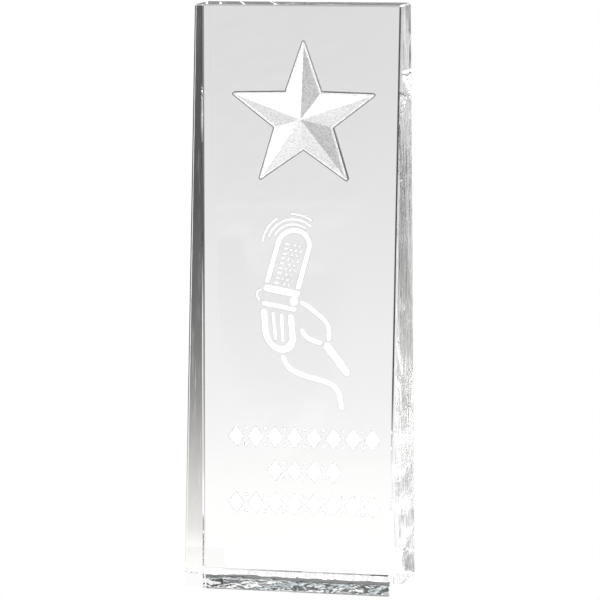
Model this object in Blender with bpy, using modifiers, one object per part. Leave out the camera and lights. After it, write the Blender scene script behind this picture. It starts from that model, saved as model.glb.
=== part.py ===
"""A crystal award: a wedge of optical crystal with a cast star set into its back face.

Metres, +Z up. The award stands on z = 0 and is centred on x = 0 and on its base's depth. Its sloping front faces -Y.
The star and the engraving are on the upright back face and are seen through the crystal.
"""

import math

import bmesh
import bpy

MM = 0.001

# Crystal block
HEIGHT = 203 * MM
WIDTH = 74 * MM
BASE_DEPTH = 39 * MM
TOP_DEPTH = 15.6 * MM
EDGE_CHAMFER = 0.5 * MM
FRONT_LEAN = math.atan((BASE_DEPTH - TOP_DEPTH) / HEIGHT)
CHAMFERED_DEPTH = BASE_DEPTH - EDGE_CHAMFER * math.sin(FRONT_LEAN)
BACK_Y = CHAMFERED_DEPTH / 2

# Star
STAR_ARMS = 5
STAR_Z = 162.25 * MM
STAR_TIP_RADIUS = 27.35 * MM
STAR_NOTCH_RADIUS = 11.05 * MM
STAR_TIP_ROUNDING = 0.3 * MM
STAR_RIM_WIDTH = 0.8 * MM
STAR_RIM_THICKNESS = 0.8 * MM
STAR_RELIEF = 5.95 * MM
TIP_ARC_STEPS = 6

# Setting of the star, measured from the back face into the crystal
FIT_GAP = 0.35 * MM
RESIN_THICKNESS = 0.8 * MM
STAR_BACK_DEPTH = RESIN_THICKNESS + FIT_GAP
STAR_RIM_DEPTH = STAR_BACK_DEPTH + STAR_RIM_THICKNESS
RIM_TO_FACET_OVERLAP = 0.3 * MM
CUTTER_OVERRUN = 1 * MM

# Engraved microphone, drawn about the middle of its band
ENGRAVING_DEPTH = 0.4 * MM
MICROPHONE_CENTRE = (-8.6 * MM, 98.5 * MM)
MICROPHONE_TILT = math.radians(-10)
HEAD_LEAN = 0.1
BODY_LEAN = 0.25
HEAD_RADIUS = 5.7 * MM
HEAD_TOP = 24.4 * MM
HEAD_BOTTOM = 4.6 * MM
FRAME_STROKE = 1.9 * MM
BAND_HALF_LENGTH = 5.6 * MM
UPPER_BAND_Y = 2.2 * MM
UPPER_BAND_STROKE = 2.6 * MM
LOWER_BAND_Y = -3.4 * MM
LOWER_BAND_STROKE = 1.8 * MM
BOSS_RADIUS = 1.7 * MM
KNOB_RADIUS = 1.9 * MM
BODY_RADIUS = 5.0 * MM
BODY_TOP = -6.4 * MM
BODY_BOTTOM = -18.4 * MM
BODY_STROKE = 2.5 * MM
FIN_STROKE = 1.4 * MM
GRILLE_DOT_RADIUS = 0.58 * MM
GRILLE_PITCH = 1.8 * MM
RIB_STROKE = 0.85 * MM
YOKE_STROKE = 1.8 * MM
HANDLE_STROKE = 2.8 * MM
CABLE_STROKE = 2.0 * MM
WAVE_STROKE = 0.9 * MM
WAVE_RADII = (7.7 * MM, 9.5 * MM, 11.3 * MM)

# Ornamental rows: height of the middle and number of lozenges
ROWS = ((48.4 * MM, 8), (36.4 * MM, 4), (24.6 * MM, 8))
LOZENGE_HEIGHT = 7.8 * MM
LOZENGE_WIDTH = 6.0 * MM
LOZENGE_PITCH = 7.1 * MM
BEAD_RADIUS = 0.7 * MM
BEAD_HEIGHT = 2.9 * MM


def clear_scene():
    for obj in list(bpy.data.objects):
        bpy.data.objects.remove(obj, do_unlink=True)


def new_collection(name):
    collection = bpy.data.collections.new(name)
    bpy.context.scene.collection.children.link(collection)
    return collection


def material(name, colour, roughness, metallic=0.0, transmission=0.0, ior=1.45):
    made = bpy.data.materials.new(name)
    made.use_nodes = True
    shader = made.node_tree.nodes["Principled BSDF"]
    shader.inputs["Base Color"].default_value = (*colour, 1.0)
    shader.inputs["Roughness"].default_value = roughness
    shader.inputs["Metallic"].default_value = metallic
    shader.inputs["Transmission Weight"].default_value = transmission
    shader.inputs["IOR"].default_value = ior
    return made


def mesh_object(name, bm, collection, surface=None):
    bmesh.ops.recalc_face_normals(bm, faces=bm.faces)
    mesh = bpy.data.meshes.new(name)
    bm.to_mesh(mesh)
    bm.free()
    obj = bpy.data.objects.new(name, mesh)
    collection.objects.link(obj)
    if surface:
        mesh.materials.append(surface)
    return obj


def make_cutter(obj):
    obj.hide_render = True
    obj.display_type = "WIRE"
    return obj


def on_back_face(obj, x=0.0, z=0.0):
    """Turns a shape drawn in its own XY plane, with +Z as depth into the crystal, onto the back face."""
    obj.location = (x, BACK_Y, z)
    obj.rotation_euler = (math.pi / 2, 0.0, 0.0)
    return obj


def boolean(obj, name, operation, other):
    modifier = obj.modifiers.new(name, "BOOLEAN")
    modifier.operation = operation
    modifier.solver = "EXACT"
    modifier.object = other


def extruded(outline, low, high):
    """A bmesh of a flat outline, a list of (x, y), filled and pulled from low to high."""
    bm = bmesh.new()
    face = bm.faces.new([bm.verts.new((x, y, low)) for x, y in outline])
    pulled = bmesh.ops.extrude_face_region(bm, geom=[face])
    top = [part for part in pulled["geom"] if isinstance(part, bmesh.types.BMVert)]
    bmesh.ops.translate(bm, verts=top, vec=(0, 0, high - low))
    return bm


# Star ---------------------------------------------------------------------------------------------------------------

STAR_PITCH = 2 * math.pi / STAR_ARMS
STAR_HALF_PITCH = STAR_PITCH / 2
TIP_HALF_ANGLE = math.atan2(
    STAR_NOTCH_RADIUS * math.sin(STAR_HALF_PITCH),
    STAR_TIP_RADIUS - STAR_NOTCH_RADIUS * math.cos(STAR_HALF_PITCH),
)
EDGE_DISTANCE = STAR_TIP_RADIUS * math.sin(TIP_HALF_ANGLE)
TIP_ARC_CENTRE = STAR_TIP_RADIUS - STAR_TIP_ROUNDING / math.sin(TIP_HALF_ANGLE)


def polar(radius, angle):
    return radius * math.cos(angle), radius * math.sin(angle)


def arm_angles():
    return [math.pi / 2 - arm * STAR_PITCH for arm in range(STAR_ARMS)]


def notch_radius(distance):
    """How far from the centre the notches are when the star's straight edges are this far from it."""
    return distance / math.sin(TIP_HALF_ANGLE + STAR_HALF_PITCH)


def rounded_star(offset=0.0):
    """The star's outline with rounded tips, moved outwards by offset."""
    rounding = STAR_TIP_ROUNDING + offset
    reach = math.pi / 2 - TIP_HALF_ANGLE
    outline = []
    for angle in arm_angles():
        centre = polar(TIP_ARC_CENTRE, angle)
        for step in range(TIP_ARC_STEPS + 1):
            turn = angle + reach * (1 - 2 * step / TIP_ARC_STEPS)
            outline.append((centre[0] + rounding * math.cos(turn), centre[1] + rounding * math.sin(turn)))
        outline.append(polar(notch_radius(EDGE_DISTANCE + offset), angle - STAR_HALF_PITCH))
    return outline


def sharp_star(distance):
    """A star outline with pointed tips whose straight edges are this far from the centre."""
    outline = []
    for angle in arm_angles():
        outline.append(polar(distance / math.sin(TIP_HALF_ANGLE), angle))
        outline.append(polar(notch_radius(distance), angle - STAR_HALF_PITCH))
    return outline


def faceted_peak(distance, base_depth, apex_depth):
    """Ten facets that rise from a pointed outline to one apex, with a skirt below that sinks into the rim."""
    bm = extruded(sharp_star(distance), base_depth - RIM_TO_FACET_OVERLAP, base_depth)
    front = max(bm.faces, key=lambda face: face.calc_center_median().z)
    poked = bmesh.ops.poke(bm, faces=[front])
    for vert in poked["verts"]:
        vert.co = (0, 0, apex_depth)
    return bm


def star_shape(name, collection, helpers, offset, back_depth, surface=None):
    """A plate with rounded tips and a faceted peak on it. offset moves every surface outwards, square to itself."""
    facet_distance = EDGE_DISTANCE - STAR_RIM_WIDTH
    slope = STAR_RELIEF / facet_distance
    lift = offset * math.hypot(1, slope)
    rim_depth = STAR_RIM_DEPTH + offset
    apex_depth = STAR_RIM_DEPTH + STAR_RELIEF + lift
    grown = facet_distance + (lift - offset) / slope
    plate = mesh_object(name, extruded(rounded_star(offset), back_depth, rim_depth), collection, surface)
    peak = mesh_object(name + "_peak", faceted_peak(grown, rim_depth, apex_depth), helpers)
    on_back_face(plate, z=STAR_Z)
    make_cutter(on_back_face(peak, z=STAR_Z))
    boolean(plate, "Peak", "UNION", peak)
    return plate


def star_casting(collection, helpers, surface):
    return star_shape("star_casting", collection, helpers, 0.0, STAR_BACK_DEPTH, surface)


def star_bond_resin(collection, surface):
    resin = mesh_object("star_bond_resin", extruded(rounded_star(), 0.0, RESIN_THICKNESS), collection, surface)
    return on_back_face(resin, z=STAR_Z)


# Engraving ----------------------------------------------------------------------------------------------------------


def arc(centre, radius, start, end, steps):
    """Points along an arc, with angles in degrees."""
    points = []
    for step in range(steps + 1):
        angle = math.radians(start + (end - start) * step / steps)
        points.append((centre[0] + radius * math.cos(angle), centre[1] + radius * math.sin(angle)))
    return points


def smooth(points, steps):
    """Points along a Catmull-Rom curve through the given ones."""
    ends = [points[0], *points, points[-1]]
    curve = []
    for a, b, c, d in zip(ends, ends[1:], ends[2:], ends[3:]):
        for step in range(steps):
            t = step / steps
            curve.append(
                tuple(
                    0.5 * (2 * q + (r - p) * t + (2 * p - 5 * q + 4 * r - s) * t**2 + (3 * q - p - 3 * r + s) * t**3)
                    for p, q, r, s in zip(a, b, c, d)
                )
            )
    return [*curve, points[-1]]


def stroke(points, width):
    """The outline of a line of this width through the points, with round ends."""
    half = width / 2
    headings = []
    for index in range(len(points)):
        before = points[max(index - 1, 0)]
        after = points[min(index + 1, len(points) - 1)]
        headings.append(math.atan2(after[1] - before[1], after[0] - before[0]))
    left = [(x - half * math.sin(a), y + half * math.cos(a)) for (x, y), a in zip(points, headings)]
    right = [(x + half * math.sin(a), y - half * math.cos(a)) for (x, y), a in zip(points, headings)]
    end = math.degrees(headings[-1])
    start = math.degrees(headings[0])
    end_cap = arc(points[-1], half, end + 60, end - 60, 2)
    start_cap = arc(points[0], half, start - 120, start - 240, 2)
    return [*left, *end_cap, *reversed(right), *start_cap]


def disc(centre, radius, sides=8):
    return arc(centre, radius, 0, 360, sides)[:-1]


def microphone_head():
    """The grille: a domed frame with rows of dots and short ribs down one side."""
    dome_y = HEAD_TOP - HEAD_RADIUS
    frame = [(-HEAD_RADIUS, HEAD_BOTTOM), *arc((0, dome_y), HEAD_RADIUS, 180, 0, 12), (HEAD_RADIUS, HEAD_BOTTOM)]
    shapes = [stroke(frame, FRAME_STROKE)]
    inner = HEAD_RADIUS - FRAME_STROKE
    rows = int((HEAD_TOP - HEAD_BOTTOM - FRAME_STROKE) / GRILLE_PITCH)
    for row in range(rows):
        y = HEAD_BOTTOM + row * GRILLE_PITCH
        above_dome = max(y - dome_y, 0)
        first_dot = -0.3 * GRILLE_PITCH if row % 2 else 0.2 * GRILLE_PITCH
        for column in range(3):
            x = first_dot + column * GRILLE_PITCH
            if math.hypot(x, above_dome) < inner - GRILLE_DOT_RADIUS / 2:
                shapes.append(disc((x, y), GRILLE_DOT_RADIUS, 6))
        wall = math.sqrt(max(inner**2 - above_dome**2, 0))
        if wall > 0.6 * inner:
            shapes.append(stroke([(RIB_STROKE - wall, y), (-0.95 * GRILLE_PITCH, y)], RIB_STROKE))
    return [leaning(shape, HEAD_BOTTOM, HEAD_LEAN) for shape in shapes]


def microphone_band():
    """Two rings round the waist, a pivot boss on one side and a knob on the other."""
    middle = (UPPER_BAND_Y + LOWER_BAND_Y) / 2
    upper = [(-BAND_HALF_LENGTH, UPPER_BAND_Y), (BAND_HALF_LENGTH, UPPER_BAND_Y)]
    lower = [(-BAND_HALF_LENGTH, LOWER_BAND_Y), (BAND_HALF_LENGTH, LOWER_BAND_Y)]
    knob = arc((-BAND_HALF_LENGTH - 1.2 * MM, middle), KNOB_RADIUS, 110, 250, 5)
    return [
        stroke(upper, UPPER_BAND_STROKE),
        stroke(lower, LOWER_BAND_STROKE),
        disc((BAND_HALF_LENGTH - 0.6 * MM, middle), BOSS_RADIUS, 10),
        stroke(knob, WAVE_STROKE),
    ]


def microphone_body():
    """The lower shell: a round-bottomed frame with two upright fins."""
    bowl_y = BODY_BOTTOM + BODY_RADIUS
    shell = [(-BODY_RADIUS, BODY_TOP), *arc((0, bowl_y), BODY_RADIUS, 180, 360, 10), (BODY_RADIUS, BODY_TOP)]
    fins = [stroke([(x, BODY_TOP), (x * 0.8, bowl_y - 1.6 * MM)], FIN_STROKE) for x in (-1.7 * MM, 1.5 * MM)]
    return [leaning(shape, BODY_TOP, -BODY_LEAN) for shape in (stroke(shell, BODY_STROKE), *fins)]


def microphone_mount():
    """The forked yoke, its handle and the trailing cable."""
    upper_arm = [(8.0 * MM, -0.4 * MM), (13.8 * MM, -3.0 * MM), (18.6 * MM, -6.4 * MM), (19.7 * MM, -11.2 * MM)]
    lower_arm = [(9.6 * MM, -10.2 * MM), (12.4 * MM, -12.5 * MM), (17.0 * MM, -13.2 * MM)]
    handle = [(19.6 * MM, -13.8 * MM), (28.2 * MM, -21.6 * MM)]
    cable = [
        (4.6 * MM, -21.0 * MM),
        (7.4 * MM, -24.2 * MM),
        (12.4 * MM, -25.8 * MM),
        (18.4 * MM, -26.2 * MM),
        (23.8 * MM, -27.0 * MM),
        (27.0 * MM, -30.0 * MM),
        (28.6 * MM, -34.4 * MM),
    ]
    return [
        stroke(smooth(upper_arm, 3), YOKE_STROKE),
        stroke(smooth(lower_arm, 3), YOKE_STROKE),
        stroke(handle, HANDLE_STROKE),
        stroke(smooth(cable, 3), CABLE_STROKE),
    ]


def sound_waves():
    """Arcs round the dome: two whole ones and an outer one in two short pieces."""
    dome_y = HEAD_TOP - HEAD_RADIUS
    dome = (HEAD_LEAN * (dome_y - HEAD_BOTTOM), dome_y)
    inner, middle, outer = WAVE_RADII
    arcs = ((inner, 160, 66), (middle, 170, 60), (outer, 182, 132), (outer, 104, 64))
    return [stroke(arc(dome, radius, start, end, 8), WAVE_STROKE) for radius, start, end in arcs]


def leaning(outline, foot, lean):
    """An outline pushed sideways in proportion to its height above its foot."""
    return [(x + lean * (y - foot), y) for x, y in outline]


def placed(outline, centre, tilt):
    """An outline turned by tilt and moved to its centre on the back face."""
    cos, sin = math.cos(tilt), math.sin(tilt)
    return [(centre[0] + x * cos - y * sin, centre[1] + x * sin + y * cos) for x, y in outline]


def microphone():
    shapes = [
        *microphone_head(),
        *microphone_band(),
        *microphone_body(),
        *microphone_mount(),
        *sound_waves(),
    ]
    return [placed(shape, MICROPHONE_CENTRE, MICROPHONE_TILT) for shape in shapes]


def lozenge(x, z):
    half_width, half_height = LOZENGE_WIDTH / 2, LOZENGE_HEIGHT / 2
    return [(x - half_width, z), (x, z + half_height), (x + half_width, z), (x, z - half_height)]


def ornamental_row(z, count):
    """A row of lozenges with a bead above and below each gap."""
    first = -(count - 1) / 2 * LOZENGE_PITCH
    shapes = [lozenge(first + index * LOZENGE_PITCH, z) for index in range(count)]
    for index in range(count - 1):
        x = first + (index + 0.5) * LOZENGE_PITCH
        shapes.append(disc((x, z + BEAD_HEIGHT), BEAD_RADIUS))
        shapes.append(disc((x, z - BEAD_HEIGHT), BEAD_RADIUS))
    return shapes


def engraving_cutter(name, outline, cutters):
    """One engraved mark, as a prism that starts outside the back face."""
    prism = extruded(outline, -CUTTER_OVERRUN, ENGRAVING_DEPTH)
    return make_cutter(on_back_face(mesh_object(name, prism, cutters)))


def engrave(cutters):
    outlines = microphone()
    for row in ROWS:
        outlines.extend(ornamental_row(*row))
    for index, outline in enumerate(outlines):
        engraving_cutter(f"engraving_cutter_{index:02d}", outline, cutters)


# Crystal ------------------------------------------------------------------------------------------------------------


def crystal_block(collection, surface):
    """The wedge: an upright back, a front that leans back to a thinner top, and a small chamfer on every edge."""
    bm = bmesh.new()
    bmesh.ops.create_cube(bm, size=1.0)
    for vert in bm.verts:
        at_top = vert.co.z > 0
        depth = TOP_DEPTH if at_top else BASE_DEPTH
        vert.co.x *= WIDTH
        vert.co.y = BACK_Y if vert.co.y > 0 else BACK_Y - depth
        vert.co.z = HEIGHT if at_top else 0.0
    block = mesh_object("crystal_body", bm, collection, surface)
    chamfer = block.modifiers.new("Polished edges", "BEVEL")
    chamfer.width = EDGE_CHAMFER
    chamfer.segments = 1
    chamfer.limit_method = "NONE"
    return block


def crystal_body(collection, cutters, helpers, surface):
    block = crystal_block(collection, surface)
    engrave(cutters)
    marks = block.modifiers.new("Engraving", "BOOLEAN")
    marks.operation = "DIFFERENCE"
    marks.solver = "EXACT"
    marks.operand_type = "COLLECTION"
    marks.collection = cutters
    pocket = make_cutter(star_shape("star_pocket_cutter", helpers, helpers, FIT_GAP, -CUTTER_OVERRUN))
    boolean(block, "Star pocket", "DIFFERENCE", pocket)
    return block


def build():
    clear_scene()
    award = new_collection("crystal_award")
    cutters = new_collection("cutters")
    engraving_cutters = new_collection("engraving_cutters")
    crystal = material("clear_crystal", (0.97, 0.98, 0.98), 0.02, transmission=1.0, ior=1.52)
    silver = material("satin_silver", (0.86, 0.86, 0.85), 0.38, metallic=1.0)
    resin = material("clear_resin", (0.93, 0.93, 0.92), 0.12, transmission=0.6, ior=1.5)
    crystal_body(award, engraving_cutters, cutters, crystal)
    star_casting(award, cutters, silver)
    star_bond_resin(award, resin)


build()
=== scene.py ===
"""Looks for the crystal award: optical crystal, a satin silver star, frosted engraving and a pale studio."""

import math

import bmesh
import bpy
from mathutils import Matrix, Vector


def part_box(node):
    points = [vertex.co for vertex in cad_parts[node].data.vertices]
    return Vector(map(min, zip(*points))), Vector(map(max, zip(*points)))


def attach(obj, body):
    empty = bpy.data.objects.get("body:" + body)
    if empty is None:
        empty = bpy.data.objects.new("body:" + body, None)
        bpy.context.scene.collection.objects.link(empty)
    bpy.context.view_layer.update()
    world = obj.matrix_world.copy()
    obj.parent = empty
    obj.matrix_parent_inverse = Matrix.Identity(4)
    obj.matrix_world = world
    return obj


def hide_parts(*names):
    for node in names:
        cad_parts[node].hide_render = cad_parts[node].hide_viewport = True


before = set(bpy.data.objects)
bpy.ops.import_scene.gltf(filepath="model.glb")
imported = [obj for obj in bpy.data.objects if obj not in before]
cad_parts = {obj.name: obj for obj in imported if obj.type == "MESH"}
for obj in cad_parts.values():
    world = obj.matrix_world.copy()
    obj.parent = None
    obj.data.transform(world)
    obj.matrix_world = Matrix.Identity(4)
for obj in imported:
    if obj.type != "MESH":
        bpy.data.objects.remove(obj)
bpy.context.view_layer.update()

MM = 0.001

# The block, the star and the star's pocket, read from the frame
BLOCK_HIGH = Vector(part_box("crystal_body")[1])
STAR_HIGH = Vector(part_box("star_casting")[1])
POCKET_LOW = Vector(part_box("star_bond_resin")[0])
BACK_Y = BLOCK_HIGH.y

# How thick the block is from front to back
BASE_DEPTH = 39 * MM
TOP_DEPTH = 15.6 * MM

# Telling its faces apart
FACE_MARGIN = 0.02 * MM
CHAMFER_MARGIN = 0.8 * MM
WELD_DISTANCE = 0.001 * MM
SQUARE_ON = 0.99

# Engraving in the back face
ENGRAVING_DEPTH = 0.4 * MM
ENGRAVING_EDGE = 0.13 * MM

# Star: the casting's own outline and relief
STAR_ARMS = 5
STAR_CENTRE_Z = 162.25 * MM
STAR_TIP_RADIUS = 27.35 * MM
STAR_NOTCH_RADIUS = 11.05 * MM
STAR_TIP_ROUNDING = 0.3 * MM
STAR_RIM_WIDTH = 0.8 * MM
STAR_RIM_DEPTH = 1.95 * MM
STAR_RELIEF = 5.95 * MM
STAR_BACK_DEPTH = BACK_Y - STAR_HIGH.y
TIP_ARC_STEPS = 8
RIDGE_ROUNDING = 0.12 * MM
RIDGE_SEGMENTS = 2
RIDGE_ANGLE = math.radians(12)

# How the star meets its pocket: its front touches the crystal, and a fine bond line runs round its side, coloured
# near black as painted shade in the gap
POCKET_GAP = 0.35 * MM
OVERLAP = 0.02 * MM
CONTACT = POCKET_GAP + OVERLAP
BOND_LINE_INNER = 0.1 * MM
BOND_LINE_DEPTH = 0.3 * MM
RESIN_DISH = 0.12 * MM
RESIN_LIP = 0.6 * MM

# Camera, looking along +Y before it is turned and dipped
CAMERA_AT = Vector((0.3442, -1.2985, 0.2956))
CAMERA_TURN = math.radians(14.806)
CAMERA_DIP = math.radians(8.28)
CAMERA_ROLL = math.radians(-0.604)
CAMERA_LENS = 232.98
CAMERA_SENSOR = 36.0
CAMERA_CLIP = (0.01, 100.0)
MOST_BOUNCES = 24
MOST_GLOSSY_BOUNCES = 12

# Crystal and resin
CRYSTAL_IOR = 1.517
RESIN_IOR = 1.5
POLISH_SWELL_SCALE = 45.0
POLISH_SWELL_HEIGHT = 0.004 * MM

# Underside of the block: broad waves, and fine streaks that run aslant
BASE_WAVE_SCALE = 42.0
BASE_WAVE_STRETCH = (1.0, 0.45, 1.0)
BASE_WAVE_HEIGHT = 1.1 * MM
BASE_STREAK_SCALE = 260.0
BASE_STREAK_STRETCH = (1.0, 0.15, 1.0)
BASE_STREAK_TURN = math.radians(-28)
BASE_STREAK_HEIGHT = 0.06 * MM
BASE_ROLL_OFF_WIDTH = 20 * MM
BASE_ROLL_OFF_CURVE = 7.5

# Narrow sides of the block: upright ripples and a slower swell, with their heights as a pair, greater on the right
RIPPLE_SCALE = 420.0
RIPPLE_STRETCH = (1.0, 1.0, 0.1)
SWELL_SCALE = 90.0
SWELL_STRETCH = (1.0, 1.0, 0.4)
RIGHT_RIPPLES = (0.17 * MM, 0.12 * MM)
LEFT_RIPPLES = (0.03 * MM, 0.04 * MM)
# They are very slightly dished, so that a strip along the front edge stands proud
SIDE_RISE_WIDTH = 4.4 * MM
SIDE_RISE_CURVE = 46.0

# Frost, silver and resin: how fine their grain is, how far it stands up, and the colours between its lows and highs
WHITE = (1.0, 1.0, 1.0)
FROST_GRAIN_SCALE = 2600.0
FROST_GRAIN_HEIGHT = 0.03 * MM
FROST_COLOURS = ((0.93, 0.94, 0.94), WHITE)
# The frost's emission is a painted glow: the frost shines brighter than the light that reaches it
FROST_PAINTED_GLOW = 0.3
EDGE_GRAIN_HEIGHT = 0.02 * MM
# The margin colours are painted shade: a grey outline round each engraved mark
ENGRAVING_SHADE_COLOURS = ((0.27, 0.28, 0.28), (0.42, 0.43, 0.43))
SAND_SCALE = 1700.0
SAND_HEIGHT = 0.3 * MM
SAND_COLOURS = ((0.68, 0.68, 0.68), (0.98, 0.98, 0.975))
SAND_COLOUR_CUT = (0.35, 0.6)
SAND_ROUGHNESS = (0.36, 0.54)
SAND_ROUGHNESS_CUT = (0.3, 0.7)
BOND_GRAIN_SCALE = 3000.0
# Near black is painted shade, for the gap round the star where no light gets in
BOND_SHADE_COLOURS = ((0.012, 0.0125, 0.013), (0.04, 0.041, 0.042))
RESIN_RIPPLE_SCALE = 220.0
RESIN_RIPPLE_HEIGHT = 0.03 * MM
RESIN_COLOUR = (0.93, 0.93, 0.92)

# Studio light that reaches the award. The camera itself sees plain white all round.
KEY_LIGHT = 6.5
FILL_LIGHT = 1.3
LOW_FRONT_LIGHT = 0.3
LOW_LEFT_LIGHT = 1.2
RIGHT_FRONT_LIGHT = 0.03

# Low light behind the award, as pairs of how far below the horizon and the tone there, a grey level or a colour
BEHIND = (
    (0.0, 0.25),
    (0.112, 0.25),
    (0.128, 0.70),
    (0.153, 0.735),
    (0.179, 0.78),
    (0.204, 0.83),
    (0.230, 0.89),
    (0.255, (0.99, 0.99, 0.98)),
    (0.29, 1.0),
    (0.315, (0.15, 0.15, 0.145)),
    (0.34, (0.22, 0.215, 0.21)),
    (0.352, (0.27, 0.265, 0.25)),
    (0.362, (0.37, 0.36, 0.335)),
    (0.378, (0.42, 0.405, 0.38)),
    (0.392, (0.62, 0.61, 0.59)),
    (0.41, 1.0),
    (0.46, 1.0),
    (0.485, 0.5),
    (0.6, 0.45),
    (0.85, 0.5),
)
BEHIND_RIGHT = (
    (0.0, 0.035),
    (0.18, 0.04),
    (0.1916, 0.07),
    (0.2044, (0.095, 0.095, 0.093)),
    (0.217, (0.155, 0.155, 0.15)),
    (0.230, (0.265, 0.26, 0.252)),
    (0.2425, (0.46, 0.445, 0.43)),
    (0.255, (0.67, 0.655, 0.63)),
    (0.2627, (0.79, 0.77, 0.75)),
    (0.269, (1.0, 0.99, 0.96)),
    (0.31, (1.0, 0.99, 0.96)),
    (0.36, 0.46),
    (0.8, 0.4),
)
# What the outside of the right-hand side reflects
SIDE_GLOSS = (
    (0.0, 0.45),
    (0.12, 0.45),
    (0.17, 0.9),
    (0.2, 1.0),
)
# The tone that the front edges of the right-hand side show, and the shaded wall above the horizon
EDGE_SHADE = 0.05
EDGE_GLOW = 1.0
WALL_DARK = (0.02, 0.024, 0.026)
WALL_LIGHT = (0.7, 0.77, 0.79)
WALL_FOOT = 0.22
WALL_RAIL = 0.95
WALL_PATCH_SCALE = 17.0
WALL_PATCH_CUT = (0.51, 0.6)

# Where one tone gives way to the next: the two values of a direction's part that the change runs between. A pair of
# these bounds a zone on both sides.
HORIZON = (-0.01, 0.01)
TO_THE_FRONT = (0.05, -0.3)
KEY_SIDE = (0.35, -0.6)
LOW_FRONT_TOP = (0.12, 0.3)
RIGHT_FRONT_SIDE = (0.12, 0.35)
RIGHT_FRONT_TOP = (0.65, 0.45)
SIDE_GLOSS_FROM = (0.12, 0.18)
BEHIND_RIGHT_ZONE = ((0.236, 0.256), (0.8, 0.7))
STRIP_FROM = (-0.3, -0.38)
STRIP_ZONE = ((0.228, 0.238), (0.38, 0.34))
EDGE_FROM = (-0.4, -0.5)
EDGE_END = (0.25, 0.24)
EDGE_FADE = (0.212, 0.238)
WALL_ZONE = ((-0.18, -0.22), (-0.8, -0.7))
WALL_TOP = (0.385, 0.35)
WALL_RAIL_ZONE = ((0.264, 0.274), (0.298, 0.288))
WALL_FOOT_TOP = (0.2, 0.17)
BESIDE_FROM = (0.87, 0.93)
BESIDE_TOP = (0.5, 0.4)

# Studio floor
FLOOR_SIZE = 30.0
FLOOR_DROP = 0.05 * MM
LEAST_DISTANCE = 1.0 * MM
# In front: under the block, near it, further out, and the banded sector that the block's right side shows. The lists
# pair a distance from the award in metres with a tone.
UNDER_BLOCK = 3.2
NEAR_BLOCK = 1.25
FRONT_TONES = (
    (0.0, 1.0),
    (0.1, 0.9),
    (0.35, 0.8),
    (0.8, 0.68),
)
BANDED_TONES = (
    (0.0, 1.0),
    (0.19, (1.0, 0.99, 0.97)),
    (0.235, (0.20, 0.195, 0.19)),
    (0.385, 0.16),
    (0.40, 1.0),
    (0.52, 1.0),
    (0.53, 0.48),
    (0.75, 0.48),
)
BAND_STREAK_SCALE = 60.0
BAND_STREAK_STRETCH = (1.0, 0.3, 1.0)
BAND_STREAK_CUT = (0.3, 0.7)
BAND_STREAKS = (0.6, 1.5)
WEDGE_TONE = 0.12
# Where these lie, by that distance and by how far to the side, as a share of it
UNDER_BLOCK_EDGE = (0.045, 0.03)
NEAR_BLOCK_EDGE = (0.13, 0.1)
BANDED_ZONE = ((-0.2, -0.25), (-0.8, -0.7))
WHITE_SIDE = (-0.36, -0.42)
WEDGE_SIDE = (-0.322, -0.334)
WEDGE_ZONE = ((0.47, 0.45), (0.38, 0.4))
DARK_SIDE = (0.2, 0.4)
DARK_FROM = (0.4, 0.6)


def as_colour(tone):
    """A colour with its alpha, from a grey level or a colour."""
    red, green, blue = (tone, tone, tone) if isinstance(tone, float) else tone
    return red, green, blue, 1.0


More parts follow.
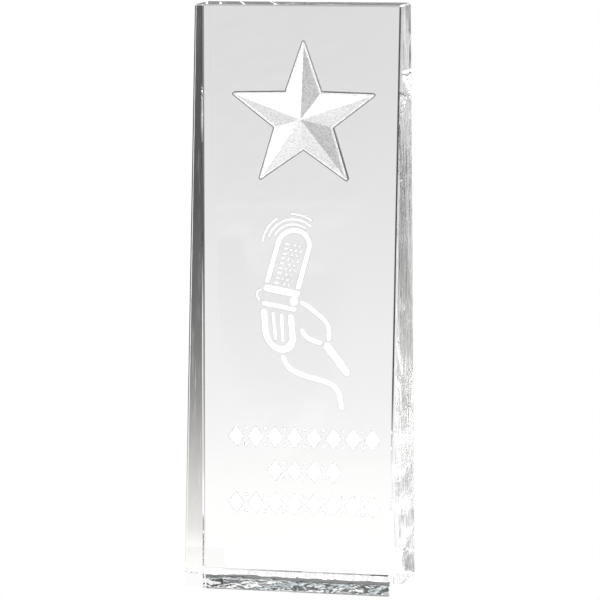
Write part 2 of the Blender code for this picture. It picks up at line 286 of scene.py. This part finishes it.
class Graph:
    """A short way to write a node tree. A colour can be given as a grey level too."""

    def __init__(self, tree):
        self.tree = tree
        tree.nodes.clear()

    def add(self, kind, inputs=None, **settings):
        node = self.tree.nodes.new(kind)
        for name, value in settings.items():
            setattr(node, name, value)
        for name, value in (inputs or {}).items():
            self.feed(node.inputs[name], value)
        return node

    def feed(self, socket, value):
        if isinstance(value, bpy.types.NodeSocket):
            self.tree.links.new(value, socket)
        elif socket.type == "RGBA":
            socket.default_value = as_colour(value)
        else:
            socket.default_value = value

    def math(self, operation, a, b=0.0, c=0.0):
        return self.add("ShaderNodeMath", {0: a, 1: b, 2: c}, operation=operation).outputs[0]

    def blend(self, factor, first, second):
        """A number between two others."""
        node = self.add("ShaderNodeMix", {0: factor, 2: first, 3: second}, data_type="FLOAT")
        return node.outputs[0]

    def ramp(self, value, low, high, start=0.0, end=1.0):
        """A smooth change from start to end while the value goes from low to high."""
        node = self.add(
            "ShaderNodeMapRange",
            {"Value": value, "From Min": low, "From Max": high, "To Min": start, "To Max": end},
            interpolation_type="SMOOTHSTEP",
        )
        return node.outputs[0]

    def product(self, first, *others):
        """All the numbers multiplied together."""
        for other in others:
            first = self.math("MULTIPLY", first, other)
        return first

    def zone(self, value, bounds):
        """One inside a zone and nothing outside it, from the change at either end."""
        return self.product(*(self.ramp(value, *bound) for bound in bounds))

    def bands(self, value, stops):
        """A colour that changes steadily from stop to stop, each a pair of value and tone."""
        node = self.add("ShaderNodeValToRGB", {0: value})
        ramp = node.color_ramp
        while len(ramp.elements) < len(stops):
            ramp.elements.new(1.0)
        for element, (position, tone) in zip(ramp.elements, stops):
            element.position = position
            element.color = as_colour(tone)
        return node.outputs[0]

    def noise(self, vector, scale, detail=2.0, roughness=0.5):
        node = self.add(
            "ShaderNodeTexNoise", {"Vector": vector, "Scale": scale, "Detail": detail, "Roughness": roughness}
        )
        return node.outputs["Fac"]

    def scaled(self, vector, factors):
        node = self.add("ShaderNodeMapping", {"Vector": vector, "Scale": factors})
        return node.outputs[0]

    def coordinates(self):
        """The place on the object, whole and as its three parts."""
        vector = self.add("ShaderNodeTexCoord").outputs["Object"]
        parts = self.add("ShaderNodeSeparateXYZ", {0: vector})
        return vector, parts.outputs

    def bump(self, height, distance, strength=1.0, normal=None):
        inputs = {"Height": height, "Distance": distance, "Strength": strength}
        if normal is not None:
            inputs["Normal"] = normal
        return self.add("ShaderNodeBump", inputs).outputs[0]

    def colours(self, factor, first, second):
        """A colour between two others."""
        node = self.add("ShaderNodeMix", {0: factor, 6: first, 7: second}, data_type="RGBA")
        return node.outputs[2]

    def grey(self, level):
        """A grey whose level is worked out by nodes."""
        return self.add("ShaderNodeCombineXYZ", {0: level, 1: level, 2: level}).outputs[0]

    def mix(self, factor, first, second):
        node = self.add("ShaderNodeMixShader", {0: factor, 1: first, 2: second})
        return node.outputs[0]

    def output(self, shader):
        self.add("ShaderNodeOutputMaterial", {"Surface": shader})


# Materials ----------------------------------------------------------------------------------------------------------


def new_material(name):
    made = bpy.data.materials.new(name)
    made.use_nodes = True
    return made, Graph(made.node_tree)


def glass(g, normal):
    """Clear optical crystal, with its surface's own unevenness as the normal."""
    return g.add(
        "ShaderNodeBsdfPrincipled",
        {
            "Base Color": WHITE,
            "Roughness": 0.0,
            "IOR": CRYSTAL_IOR,
            "Transmission Weight": 1.0,
            "Normal": normal,
        },
    ).outputs[0]


def roll_off(g, distance, width, curve):
    """How far a surface has fallen away within this width of an edge, for a given distance from the edge."""
    inside = g.math("MAXIMUM", g.math("SUBTRACT", width, distance), 0.0)
    return g.math("MULTIPLY", g.math("POWER", inside, 2.0), -curve / 2)


def polished_material():
    """The faces that are looked through: flat but for the faint swell of hand polishing."""
    made, g = new_material("optical_crystal")
    vector, _ = g.coordinates()
    swell = g.noise(vector, POLISH_SWELL_SCALE, detail=1.0)
    g.output(glass(g, g.bump(swell, POLISH_SWELL_HEIGHT)))
    return made


def side_material(name, ripple_height, swell_height):
    """A narrow side: long shallow ripples from a polishing belt, and a strip that rises along the front edge."""
    made, g = new_material(name)
    vector, (_, y, z) = g.coordinates()
    ripple = g.noise(g.scaled(vector, RIPPLE_STRETCH), RIPPLE_SCALE)
    swell = g.noise(g.scaled(vector, SWELL_STRETCH), SWELL_SCALE, detail=1.0)
    rippled = g.bump(swell, swell_height, normal=g.bump(ripple, ripple_height))
    front_y = g.math("MULTIPLY_ADD", z, (BASE_DEPTH - TOP_DEPTH) / BLOCK_HIGH.z, BACK_Y - BASE_DEPTH)
    rise = roll_off(g, g.math("SUBTRACT", y, front_y), SIDE_RISE_WIDTH, -SIDE_RISE_CURVE)
    g.output(glass(g, g.bump(rise, 1.0, normal=rippled)))
    return made


def base_material():
    """The underside: wavy and streaked from hand grinding, and rounded off towards the back."""
    made, g = new_material("hand_ground_crystal")
    vector, (_, y, _) = g.coordinates()
    waves = g.noise(g.scaled(vector, BASE_WAVE_STRETCH), BASE_WAVE_SCALE, detail=3.0, roughness=0.45)
    slanted = g.add("ShaderNodeMapping", {"Vector": vector, "Rotation": (0.0, 0.0, BASE_STREAK_TURN)}).outputs[0]
    streaks = g.noise(g.scaled(slanted, BASE_STREAK_STRETCH), BASE_STREAK_SCALE, roughness=0.6)
    waved = g.bump(streaks, BASE_STREAK_HEIGHT, normal=g.bump(waves, BASE_WAVE_HEIGHT))
    fall = roll_off(g, g.math("SUBTRACT", BACK_Y, y), BASE_ROLL_OFF_WIDTH, BASE_ROLL_OFF_CURVE)
    g.output(glass(g, g.bump(fall, 1.0, normal=waved)))
    return made


def frost_material():
    """Sandblasted crystal: white with a fine grain, and a painted glow that makes it brighter than its light alone
    would.
    """
    made, g = new_material("frosted_engraving")
    vector, _ = g.coordinates()
    grain = g.noise(vector, FROST_GRAIN_SCALE, detail=3.0, roughness=0.7)
    colour = g.colours(grain, *FROST_COLOURS)
    frost = g.add(
        "ShaderNodeBsdfPrincipled",
        {
            "Base Color": colour,
            "Roughness": 0.65,
            "Normal": g.bump(grain, FROST_GRAIN_HEIGHT),
            # Painted glow: the frost gives out light of its own so that it looks brighter
            "Emission Color": WHITE,
            "Emission Strength": FROST_PAINTED_GLOW,
        },
    )
    g.output(frost.outputs[0])
    return made


def engraving_shade_material():
    """The margin of every engraved mark, painted grey as the shade of a fine dark outline round the mark."""
    made, g = new_material("engraving_painted_shade")
    vector, _ = g.coordinates()
    grain = g.noise(vector, FROST_GRAIN_SCALE, detail=3.0, roughness=0.7)
    # Painted shade: the margin is coloured dark grey as the outline round the mark
    colour = g.colours(grain, *ENGRAVING_SHADE_COLOURS)
    edge = g.add(
        "ShaderNodeBsdfPrincipled",
        {"Base Color": colour, "Roughness": 0.5, "Normal": g.bump(grain, EDGE_GRAIN_HEIGHT)},
    )
    g.output(edge.outputs[0])
    return made


def silver_material():
    """Satin silver casting with a sand grain that stands out where the light grazes it."""
    made, g = new_material("satin_silver")
    vector, _ = g.coordinates()
    sand = g.noise(vector, SAND_SCALE, detail=3.0, roughness=0.65)
    colour = g.colours(g.ramp(sand, *SAND_COLOUR_CUT), *SAND_COLOURS)
    roughness = g.ramp(sand, *SAND_ROUGHNESS_CUT, *SAND_ROUGHNESS)
    silver = g.add(
        "ShaderNodeBsdfPrincipled",
        {"Base Color": colour, "Metallic": 1.0, "Roughness": roughness, "Normal": g.bump(sand, SAND_HEIGHT)},
    )
    g.output(silver.outputs[0])
    return made


def bond_shade_material():
    """The bond line round the star, painted near black as the shade in the gap where no light gets in."""
    made, g = new_material("bond_line_painted_shade")
    vector, _ = g.coordinates()
    grain = g.noise(vector, BOND_GRAIN_SCALE)
    # Painted shade: the bond line is coloured near black as the dark gap round the star
    colour = g.colours(grain, *BOND_SHADE_COLOURS)
    bond = g.add("ShaderNodeBsdfPrincipled", {"Base Color": colour, "Roughness": 0.6})
    g.output(bond.outputs[0])
    return made


def resin_material():
    """Cured resin over the back of the star: clear, with a few soft ripples."""
    made, g = new_material("cured_resin")
    vector, _ = g.coordinates()
    ripple = g.noise(vector, RESIN_RIPPLE_SCALE)
    resin = g.add(
        "ShaderNodeBsdfPrincipled",
        {
            "Base Color": RESIN_COLOUR,
            "Roughness": 0.06,
            "IOR": RESIN_IOR,
            "Transmission Weight": 1.0,
            "Normal": g.bump(ripple, RESIN_RIPPLE_HEIGHT),
        },
    )
    g.output(resin.outputs[0])
    return made


# Meshes -------------------------------------------------------------------------------------------------------------


def finished(name, bm, surfaces, bevel=0.0):
    """The bmesh as an object of the scene, with one or more materials."""
    mesh = bpy.data.meshes.new(name)
    bm.to_mesh(mesh)
    bm.free()
    for surface in surfaces:
        mesh.materials.append(surface)
    obj = bpy.data.objects.new(name, mesh)
    bpy.context.scene.collection.objects.link(obj)
    if bevel:
        modifier = obj.modifiers.new("Softened ridges", "BEVEL")
        modifier.width = bevel
        modifier.segments = RIDGE_SEGMENTS
        modifier.limit_method = "ANGLE"
        modifier.angle_limit = RIDGE_ANGLE
    return obj


# Crystal ------------------------------------------------------------------------------------------------------------


# The block's material slots, in the order that crystal_block() fills them
POLISHED, RIGHT_SIDE, LEFT_SIDE, BASE, FROST, ENGRAVED_SHADED_MARGIN = range(6)


def kind_of_face(face):
    """The material slot that a face of the block belongs in."""
    middle = face.calc_center_median()
    if abs(face.normal.x) > SQUARE_ON and abs(middle.x) > BLOCK_HIGH.x - FACE_MARGIN:
        return RIGHT_SIDE if middle.x > 0 else LEFT_SIDE
    if face.normal.z < -SQUARE_ON and middle.z < FACE_MARGIN:
        return BASE
    recessed = FACE_MARGIN < BACK_Y - middle.y < ENGRAVING_DEPTH + FACE_MARGIN
    inside_edges = abs(middle.x) < BLOCK_HIGH.x - CHAMFER_MARGIN and middle.z > CHAMFER_MARGIN
    return FROST if recessed and inside_edges and middle.z < POCKET_LOW.z else POLISHED


def mark_engraving_edges(bm):
    """Splits a narrow margin off the floor of every engraved mark, to carry the painted shade of its outline."""
    frosted = [face for face in bm.faces if face.material_index == FROST]
    floor_y = BACK_Y - ENGRAVING_DEPTH + FACE_MARGIN
    floors = [face for face in frosted if face.calc_center_median().y < floor_y]
    rim = bmesh.ops.inset_region(
        bm, faces=floors, thickness=ENGRAVING_EDGE, use_even_offset=True, use_boundary=True
    )
    for face in rim["faces"]:
        face.material_index = ENGRAVED_SHADED_MARGIN


def crystal_block():
    """The block with each kind of surface in its own material."""
    bm = bmesh.new()
    bm.from_mesh(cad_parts["crystal_body"].data)
    bmesh.ops.remove_doubles(bm, verts=bm.verts, dist=WELD_DISTANCE)
    bm.normal_update()
    for face in bm.faces:
        face.smooth = False
        face.material_index = kind_of_face(face)
    mark_engraving_edges(bm)
    surfaces = (
        polished_material(),
        side_material("belt_polished_right", *RIGHT_RIPPLES),
        side_material("belt_polished_left", *LEFT_RIPPLES),
        base_material(),
        frost_material(),
        engraving_shade_material(),
    )
    return finished("crystal_block", bm, surfaces)


# Star ---------------------------------------------------------------------------------------------------------------

STAR_PITCH = 2 * math.pi / STAR_ARMS
STAR_HALF_PITCH = STAR_PITCH / 2
TIP_HALF_ANGLE = math.atan2(
    STAR_NOTCH_RADIUS * math.sin(STAR_HALF_PITCH),
    STAR_TIP_RADIUS - STAR_NOTCH_RADIUS * math.cos(STAR_HALF_PITCH),
)
EDGE_DISTANCE = STAR_TIP_RADIUS * math.sin(TIP_HALF_ANGLE)
TIP_ARC_CENTRE = STAR_TIP_RADIUS - STAR_TIP_ROUNDING / math.sin(TIP_HALF_ANGLE)


def polar(radius, angle):
    """The point at this radius and angle."""
    return radius * math.cos(angle), radius * math.sin(angle)


def arm_angles():
    """The directions of the star's arms, from the upright one round to the right."""
    return [math.pi / 2 - arm * STAR_PITCH for arm in range(STAR_ARMS)]


def notch_radius(distance):
    """How far out the notches lie when the straight edges are this far from the centre."""
    return distance / math.sin(TIP_HALF_ANGLE + STAR_HALF_PITCH)


def rounded_star(offset):
    """The casting's outline grown by an offset, as each tip's arc and the notch after it."""
    rounding = STAR_TIP_ROUNDING + offset
    reach = math.pi / 2 - TIP_HALF_ANGLE
    outline = []
    for angle in arm_angles():
        centre = polar(TIP_ARC_CENTRE, angle)
        for step in range(TIP_ARC_STEPS + 1):
            turn = angle + reach * (1 - 2 * step / TIP_ARC_STEPS)
            outline.append((centre[0] + rounding * math.cos(turn), centre[1] + rounding * math.sin(turn)))
        outline.append(polar(notch_radius(EDGE_DISTANCE + offset), angle - STAR_HALF_PITCH))
    return outline


def sharp_star(distance):
    """A star outline with pointed tips whose straight edges are this far from the centre."""
    outline = []
    for angle in arm_angles():
        outline.append(polar(distance / math.sin(TIP_HALF_ANGLE), angle))
        outline.append(polar(notch_radius(distance), angle - STAR_HALF_PITCH))
    return outline


def ring(bm, outline, depth):
    """Vertices of an outline on the back face's plane, this deep into the crystal."""
    return [bm.verts.new((x, BACK_Y - depth, STAR_CENTRE_Z + z)) for x, z in outline]


def bridge(bm, first, second):
    """A band of faces between two loops of as many vertices."""
    for a, b, c, d in zip(first, first[1:] + first[:1], second[1:] + second[:1], second):
        bm.faces.new((a, b, c, d))


def star_piece():
    """The casting as it is seen: rim, ten facets rising to the peak, softened ridges."""
    bm = bmesh.new()
    facet_distance = EDGE_DISTANCE - STAR_RIM_WIDTH
    slope = STAR_RELIEF / facet_distance
    lift = CONTACT * math.hypot(1, slope)
    grown = facet_distance + (lift - CONTACT) / slope
    rim_depth = STAR_RIM_DEPTH + CONTACT
    outline = rounded_star(BOND_LINE_INNER)
    back = ring(bm, outline, STAR_BACK_DEPTH)
    rim = ring(bm, outline, rim_depth)
    corners = ring(bm, sharp_star(grown), rim_depth)
    apex = bm.verts.new((0.0, BACK_Y - STAR_RIM_DEPTH - STAR_RELIEF - lift, STAR_CENTRE_Z))
    bm.faces.new(back)
    bridge(bm, back, rim)
    for first, second in zip(corners, corners[1:] + corners[:1]):
        bm.faces.new((first, second, apex))
    per_arm = TIP_ARC_STEPS + 2
    for arm in range(STAR_ARMS):
        tip, notch = corners[2 * arm], corners[2 * arm + 1]
        next_tip = corners[(2 * arm + 2) % len(corners)]
        tip_arc = rim[arm * per_arm : arm * per_arm + TIP_ARC_STEPS + 1]
        rim_notch = rim[arm * per_arm + TIP_ARC_STEPS + 1]
        next_arc_start = rim[(arm + 1) * per_arm % len(rim)]
        for first, second in zip(tip_arc, tip_arc[1:]):
            bm.faces.new((first, second, tip))
        bm.faces.new((tip_arc[-1], rim_notch, notch, tip))
        bm.faces.new((rim_notch, next_arc_start, next_tip, notch))
    bmesh.ops.recalc_face_normals(bm, faces=bm.faces)
    return finished("silver_star", bm, [silver_material()], RIDGE_ROUNDING)


def bond_line_piece():
    """The thin wall of resin between the star's side and the crystal, coloured near black as painted shade."""
    bm = bmesh.new()
    inner = rounded_star(BOND_LINE_INNER)
    outer = rounded_star(CONTACT)
    front = STAR_RIM_DEPTH + CONTACT
    back = front - BOND_LINE_DEPTH
    corners = ((inner, back), (outer, back), (outer, front), (inner, front))
    loops = [ring(bm, outline, depth) for outline, depth in corners]
    for first, second in zip(loops, loops[1:] + loops[:1]):
        bridge(bm, first, second)
    bmesh.ops.recalc_face_normals(bm, faces=bm.faces)
    return finished("bond_line_painted_shade", bm, [bond_shade_material()])


def resin_piece():
    """The resin that closes the pocket behind the star, wetting the wall and slightly dished in the middle."""
    bm = bmesh.new()
    wall = rounded_star(CONTACT)
    shelf = rounded_star(CONTACT - RESIN_LIP)
    front = ring(bm, wall, STAR_BACK_DEPTH + OVERLAP)
    lip = ring(bm, wall, 0.0)
    hollow = ring(bm, shelf, RESIN_DISH)
    bm.faces.new(front)
    bridge(bm, front, lip)
    bridge(bm, lip, hollow)
    bm.faces.new(hollow)
    bmesh.ops.recalc_face_normals(bm, faces=bm.faces)
    return finished("resin_backing", bm, [resin_material()])


# Studio -------------------------------------------------------------------------------------------------------------


def front_light(g, x, z):
    """The soft light in front: brightest high on the left, dim on the right and low down."""
    left = g.ramp(x, *KEY_SIDE)
    soft_box = g.math("MULTIPLY_ADD", left, KEY_LIGHT - FILL_LIGHT, FILL_LIGHT)
    dim_right = g.product(g.ramp(x, *RIGHT_FRONT_SIDE), g.ramp(z, *RIGHT_FRONT_TOP))
    soft_box = g.blend(dim_right, soft_box, RIGHT_FRONT_LIGHT)
    low = g.math("MULTIPLY_ADD", left, LOW_LEFT_LIGHT - LOW_FRONT_LIGHT, LOW_FRONT_LIGHT)
    return g.grey(g.blend(g.ramp(z, *LOW_FRONT_TOP), low, soft_box))


def light_behind(g, x, below):
    """The tones below the horizon behind the award, by how far down and to which side they lie."""
    tone = g.bands(below, BEHIND)
    tone = g.colours(g.ramp(x, *SIDE_GLOSS_FROM), tone, g.bands(below, SIDE_GLOSS))
    tone = g.colours(g.zone(x, BEHIND_RIGHT_ZONE), tone, g.bands(below, BEHIND_RIGHT))
    strip = g.product(g.ramp(x, *STRIP_FROM), g.zone(below, STRIP_ZONE))
    tone = g.colours(strip, tone, WHITE)
    edge = g.product(g.ramp(x, *EDGE_FROM), g.ramp(below, *EDGE_END))
    return g.colours(edge, tone, g.grey(g.ramp(below, *EDGE_FADE, EDGE_SHADE, EDGE_GLOW)))


def shaded_wall(g, direction, z):
    """Dark and light patches, with a bright rail across them and a plain foot."""
    patches = g.noise(direction, WALL_PATCH_SCALE, detail=3.0, roughness=0.6)
    wall = g.colours(g.ramp(patches, *WALL_PATCH_CUT), WALL_DARK, WALL_LIGHT)
    wall = g.colours(g.zone(z, WALL_RAIL_ZONE), wall, WALL_RAIL)
    return g.colours(g.ramp(z, *WALL_FOOT_TOP), wall, WALL_FOOT)


def studio_world():
    """Light by direction alone, to which the floor in front adds its own. The camera sees plain white instead."""
    world = bpy.data.worlds.new("studio")
    bpy.context.scene.world = world
    world.use_nodes = True
    g = Graph(world.node_tree)
    direction = g.add("ShaderNodeTexCoord").outputs["Generated"]
    x, y, z = g.add("ShaderNodeSeparateXYZ", {0: direction}).outputs
    above_horizon = g.ramp(z, *HORIZON)

    wall = shaded_wall(g, direction, z)
    wall_part = g.product(g.zone(x, WALL_ZONE), g.ramp(z, *WALL_TOP))
    above = g.colours(wall_part, WHITE, wall)
    behind = g.colours(above_horizon, light_behind(g, x, g.math("MULTIPLY", z, -1.0)), above)

    level = g.colours(g.ramp(y, *TO_THE_FRONT), behind, front_light(g, x, z))
    # The same wall stands on both sides, where only side views show it
    beside = g.product(g.ramp(g.math("ABSOLUTE", x), *BESIDE_FROM), g.ramp(z, *BESIDE_TOP), above_horizon)
    level = g.colours(beside, level, wall)

    lit = g.add("ShaderNodeBackground", {"Color": level, "Strength": 1.0}).outputs[0]
    pale = g.add("ShaderNodeBackground", {"Color": WHITE, "Strength": 1.0}).outputs[0]
    camera = g.add("ShaderNodeLightPath").outputs["Is Camera Ray"]
    g.add("ShaderNodeOutputWorld", {"Surface": g.mix(camera, lit, pale)})


def banded_tone(g, position, distance, side):
    """Streaked bands at set distances, with a dark wedge in the bright one."""
    streaks = g.noise(g.scaled(position, BAND_STREAK_STRETCH), BAND_STREAK_SCALE, roughness=0.6)
    streaks = g.grey(g.ramp(streaks, *BAND_STREAK_CUT, *BAND_STREAKS))
    bands = g.bands(distance, BANDED_TONES)
    banded = g.add("ShaderNodeVectorMath", {0: bands, 1: streaks}, operation="MULTIPLY").outputs[0]
    wedge = g.product(g.ramp(side, *WEDGE_SIDE), g.zone(distance, WEDGE_ZONE))
    return g.colours(wedge, banded, WEDGE_TONE)


def floor_material():
    """A pale sweep. Behind the award the world gives its tone. In front it falls off, with one banded sector."""
    made, g = new_material("studio_sweep")
    position = g.add("ShaderNodeNewGeometry").outputs["Position"]
    distance = g.add("ShaderNodeVectorMath", {0: position}, operation="LENGTH").outputs["Value"]
    x, y, _ = g.add("ShaderNodeSeparateXYZ", {0: position}).outputs
    side = g.math("DIVIDE", x, g.math("MAXIMUM", distance, LEAST_DISTANCE))

    sector = g.zone(side, BANDED_ZONE)
    tone = g.colours(sector, g.bands(distance, FRONT_TONES), banded_tone(g, position, distance, side))
    tone = g.colours(g.product(g.ramp(side, *WHITE_SIDE), sector), tone, WHITE)
    dark_right = g.product(g.ramp(side, *DARK_SIDE), g.ramp(distance, *DARK_FROM))
    tone = g.colours(dark_right, tone, RIGHT_FRONT_LIGHT)
    tone = g.colours(g.ramp(distance, *NEAR_BLOCK_EDGE), tone, NEAR_BLOCK)
    tone = g.colours(g.ramp(distance, *UNDER_BLOCK_EDGE), tone, UNDER_BLOCK)

    in_front = g.add("ShaderNodeEmission", {"Color": tone, "Strength": 1.0}).outputs[0]
    open_behind = g.add("ShaderNodeBsdfTransparent").outputs[0]
    bent = g.mix(g.math("GREATER_THAN", y, 0.0), in_front, open_behind)
    pale = g.add("ShaderNodeEmission", {"Color": WHITE, "Strength": 1.0}).outputs[0]
    camera = g.add("ShaderNodeLightPath").outputs["Is Camera Ray"]
    g.output(g.mix(camera, bent, pale))
    return made


def studio_floor():
    """A wide floor just under the award."""
    bm = bmesh.new()
    bmesh.ops.create_grid(bm, x_segments=1, y_segments=1, size=FLOOR_SIZE / 2)
    bmesh.ops.translate(bm, verts=bm.verts, vec=(0.0, 0.0, -FLOOR_DROP))
    floor = finished("studio_floor", bm, [floor_material()])


def studio_camera():
    """A long lens from the front right, a little above the award."""
    data = bpy.data.cameras.new("camera")
    data.lens = CAMERA_LENS
    data.sensor_width = CAMERA_SENSOR
    data.clip_start, data.clip_end = CAMERA_CLIP
    camera = bpy.data.objects.new("camera", data)
    bpy.context.scene.collection.objects.link(camera)
    turn = Matrix.Rotation(CAMERA_TURN, 4, "Z")
    dip = Matrix.Rotation(math.pi / 2 - CAMERA_DIP, 4, "X")
    roll = Matrix.Rotation(CAMERA_ROLL, 4, "Z")
    camera.matrix_world = Matrix.Translation(CAMERA_AT) @ turn @ dip @ roll
    bpy.context.scene.camera = camera


def light_paths():
    """Bounces enough for light to get through the block, and tones shown as they are."""
    scene = bpy.context.scene
    scene.view_settings.view_transform = "Standard"
    scene.cycles.max_bounces = MOST_BOUNCES
    scene.cycles.transmission_bounces = MOST_BOUNCES
    scene.cycles.glossy_bounces = MOST_GLOSSY_BOUNCES


def place(piece, node):
    """Lets a piece ride on the award, and hides the CAD node that it stands for if one is named."""
    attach(piece, "root")
    if node:
        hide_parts(node)


studio_camera()
studio_world()
studio_floor()
light_paths()
place(crystal_block(), "crystal_body")
place(star_piece(), "star_casting")
place(resin_piece(), "star_bond_resin")
place(bond_line_piece(), None)
